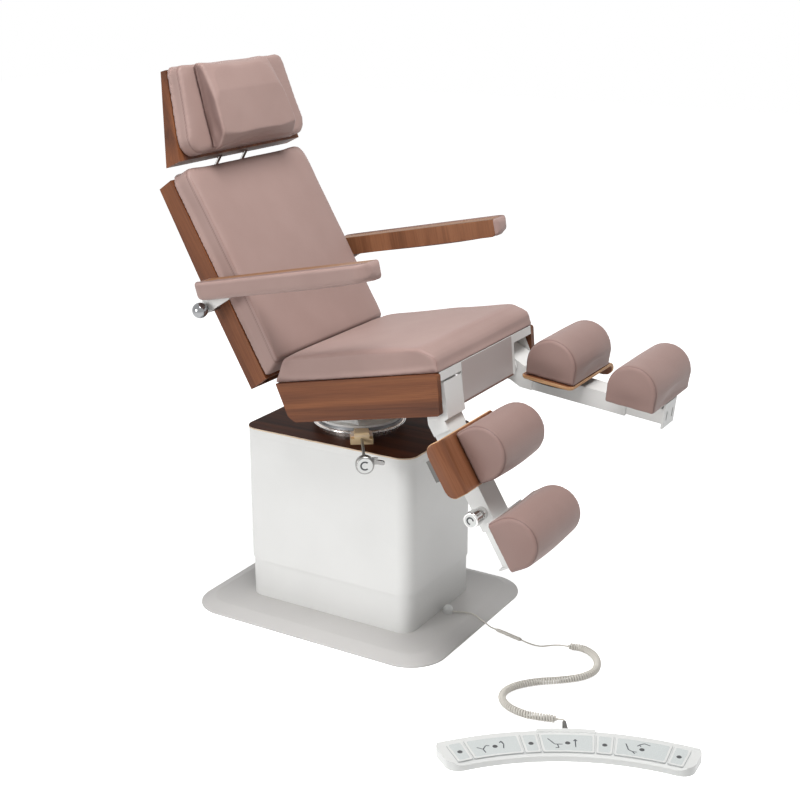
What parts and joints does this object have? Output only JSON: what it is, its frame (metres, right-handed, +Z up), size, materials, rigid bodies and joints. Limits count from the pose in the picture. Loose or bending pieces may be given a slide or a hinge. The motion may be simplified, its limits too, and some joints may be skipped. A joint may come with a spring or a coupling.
{
  "type": "podiatry chair",
  "caption": "Podiatry chair on a lifting column with a reclining back, headrest, folding armrests, two swinging leg supports and a corded foot control.",
  "frame": {"origin": "on the floor, under the middle of the column", "axes": "+X to the front of the chair, +Y to the left of the person who sits, +Z up"},
  "size_m": [1.5793, 1.0186, 1.4862],
  "materials": {
    "white_enamel": "satin",
    "mast_steel": "satin",
    "chrome": "polished",
    "brass": "satin",
    "cap_laminate": "satin",
    "walnut": "satin",
    "birch": "satin",
    "upholstery": "matte",
    "grey_plastic": "matte",
    "white_plastic": "matte",
    "cord_grey": "satin"
  },
  "bodies": {
    "base": {"base_plate": "white_enamel", "lower_cover": "white_enamel", "lift_outer": "mast_steel", "cable_gland": "white_plastic", "cord_lead": "cord_grey", "cord_sleeve": "cord_grey", "curly_cord": "cord_grey", "cord_relief": "cord_grey", "foot_housing": "white_plastic"},
    "lift": {"upper_cover": "white_enamel", "top_cap": "cap_laminate", "lift_inner": "mast_steel", "turntable_base": "chrome", "clamp_band": "chrome", "clamp_block": "brass"},
    "clamp_screw": {"clamp_knob": "chrome"},
    "turntable": {"turntable_plate": "mast_steel", "tilt_bracket": "white_enamel"},
    "seat": {"seat_frame": "white_enamel", "seat_side_right": "walnut", "seat_side_left": "walnut", "seat_board": "birch", "seat_cushion": "upholstery", "back_motor": "grey_plastic"},
    "back": {"back_shell": "walnut", "back_cushion": "upholstery", "back_hinge": "white_enamel"},
    "headrest": {"headrest_rods": "chrome", "headrest_shell": "walnut", "headrest_cushion": "upholstery", "head_pillow": "upholstery"},
    "armrest_right": {"armrest_wood_right": "walnut", "armrest_pad_right": "upholstery", "armrest_bracket_right": "white_enamel"},
    "armrest_screw_right": {"armrest_knob_right": "chrome"},
    "leg_right": {"leg_arm_right": "white_enamel", "leg_wing_right": "birch", "leg_pad_upper_right": "upholstery"},
    "leg_slide_right": {"leg_bar_right": "white_enamel", "leg_pad_lower_right": "upholstery"},
    "leg_lock_right": {"leg_knob_right": "chrome"},
    "leg_release_right": {"leg_paddle_right": "grey_plastic"},
    "armrest_left": {"armrest_wood_left": "walnut", "armrest_pad_left": "upholstery", "armrest_bracket_left": "white_enamel"},
    "armrest_screw_left": {"armrest_knob_left": "chrome"},
    "leg_left": {"leg_arm_left": "white_enamel", "leg_wing_left": "birch", "leg_pad_upper_left": "upholstery"},
    "leg_slide_left": {"leg_bar_left": "white_enamel", "leg_pad_lower_left": "upholstery"},
    "leg_lock_left": {"leg_knob_left": "chrome"},
    "leg_release_left": {"leg_paddle_left": "grey_plastic"},
    "foot_button_1": {"foot_button_1": "grey_plastic"},
    "foot_button_2": {"foot_button_2": "grey_plastic"},
    "foot_button_3": {"foot_button_3": "grey_plastic"},
    "foot_button_4": {"foot_button_4": "grey_plastic"},
    "foot_button_5": {"foot_button_5": "grey_plastic"},
    "foot_button_6": {"foot_button_6": "grey_plastic"},
    "foot_button_7": {"foot_button_7": "grey_plastic"}
  },
  "joints": [
    {"name": "column_lift", "type": "slide", "parent": "base", "child": "lift", "axis": [0, 0, 1], "range_m": [-0.1, 0.2]},
    {"name": "clamp_knob_turn", "type": "hinge", "parent": "lift", "child": "clamp_screw", "pos_m": [0.19258, -0.2802, 0.535], "axis": [0.5664, -0.8241, 0], "range_deg": [-90, 90]},
    {"name": "seat_swivel", "type": "hinge", "parent": "lift", "child": "turntable", "pos_m": [0, 0, 0.545], "axis": [0, 0, 1], "range_deg": [-90, 90]},
    {"name": "seat_tilt", "type": "hinge", "parent": "turntable", "child": "seat", "pos_m": [0, 0, 0.64], "axis": [0, -1, 0], "range_deg": [-12, 8]},
    {"name": "back_recline", "type": "hinge", "parent": "seat", "child": "back", "pos_m": [-0.09885, 0, 0.67215], "axis": [0, -1, 0], "range_deg": [0, 60]},
    {"name": "headrest_slide", "type": "slide", "parent": "back", "child": "headrest", "axis": [-0.5, 0, 0.866], "range_m": [0, 0.08]},
    {"name": "armrest_fold_right", "type": "hinge", "parent": "back", "child": "armrest_right", "pos_m": [-0.26808, -0.312, 0.88154], "axis": [0, -1, 0], "range_deg": [0, 100]},
    {"name": "armrest_knob_turn_right", "type": "hinge", "parent": "back", "child": "armrest_screw_right", "pos_m": [-0.26808, -0.336, 0.88154], "axis": [0, 1, 0], "range_deg": [-90, 90]},
    {"name": "leg_raise_right", "type": "hinge", "parent": "seat", "child": "leg_right", "pos_m": [0.38676, -0.201, 0.70585], "axis": [0, -1, 0], "range_deg": [-19, 74]},
    {"name": "leg_extend_right", "type": "slide", "parent": "leg_right", "child": "leg_slide_right", "axis": [0.515, 0, -0.8572], "range_m": [0, 0.15]},
    {"name": "leg_knob_turn_right", "type": "hinge", "parent": "leg_right", "child": "leg_lock_right", "pos_m": [0.50611, -0.261, 0.45091], "axis": [0, 1, 0], "range_deg": [-90, 90]},
    {"name": "paddle_squeeze_right", "type": "hinge", "parent": "leg_right", "child": "leg_release_right", "pos_m": [0.44249, -0.246, 0.58592], "axis": [-0.515, 0, 0.8572], "range_deg": [0, 6], "stiffness_Nm_per_rad": 2, "springref_deg": -9.74},
    {"name": "armrest_fold_left", "type": "hinge", "parent": "back", "child": "armrest_left", "pos_m": [-0.26808, 0.312, 0.88154], "axis": [0, -1, 0], "range_deg": [0, 100]},
    {"name": "armrest_knob_turn_left", "type": "hinge", "parent": "back", "child": "armrest_screw_left", "pos_m": [-0.26808, 0.336, 0.88154], "axis": [0, 1, 0], "range_deg": [-90, 90]},
    {"name": "leg_raise_left", "type": "hinge", "parent": "seat", "child": "leg_left", "pos_m": [0.38676, 0.201, 0.70585], "axis": [0, -1, 0], "range_deg": [-72, 21]},
    {"name": "leg_extend_left", "type": "slide", "parent": "leg_left", "child": "leg_slide_left", "axis": [0.9945, 0, -0.1045], "range_m": [0, 0.15]},
    {"name": "leg_knob_turn_left", "type": "hinge", "parent": "leg_left", "child": "leg_lock_left", "pos_m": [0.66219, 0.261, 0.64774], "axis": [0, 1, 0], "range_deg": [-90, 90]},
    {"name": "paddle_squeeze_left", "type": "hinge", "parent": "leg_left", "child": "leg_release_left", "pos_m": [0.51608, 0.246, 0.67818], "axis": [0.9945, 0, -0.1045], "range_deg": [0, 6], "stiffness_Nm_per_rad": 2, "springref_deg": -9.74},
    {"name": "foot_button_1_press", "type": "slide", "parent": "base", "child": "foot_button_1", "axis": [0, 0, -1], "range_m": [0, 0.0025], "stiffness_N_per_m": 600},
    {"name": "foot_button_2_press", "type": "slide", "parent": "base", "child": "foot_button_2", "axis": [0, 0, -1], "range_m": [0, 0.0025], "stiffness_N_per_m": 600},
    {"name": "foot_button_3_press", "type": "slide", "parent": "base", "child": "foot_button_3", "axis": [0, 0, -1], "range_m": [0, 0.0025], "stiffness_N_per_m": 600},
    {"name": "foot_button_4_press", "type": "slide", "parent": "base", "child": "foot_button_4", "axis": [0, 0, -1], "range_m": [0, 0.0025], "stiffness_N_per_m": 600},
    {"name": "foot_button_5_press", "type": "slide", "parent": "base", "child": "foot_button_5", "axis": [0, 0, -1], "range_m": [0, 0.0025], "stiffness_N_per_m": 600},
    {"name": "foot_button_6_press", "type": "slide", "parent": "base", "child": "foot_button_6", "axis": [0, 0, -1], "range_m": [0, 0.0025], "stiffness_N_per_m": 600},
    {"name": "foot_button_7_press", "type": "slide", "parent": "base", "child": "foot_button_7", "axis": [0, 0, -1], "range_m": [0, 0.0025], "stiffness_N_per_m": 600}
  ]
}
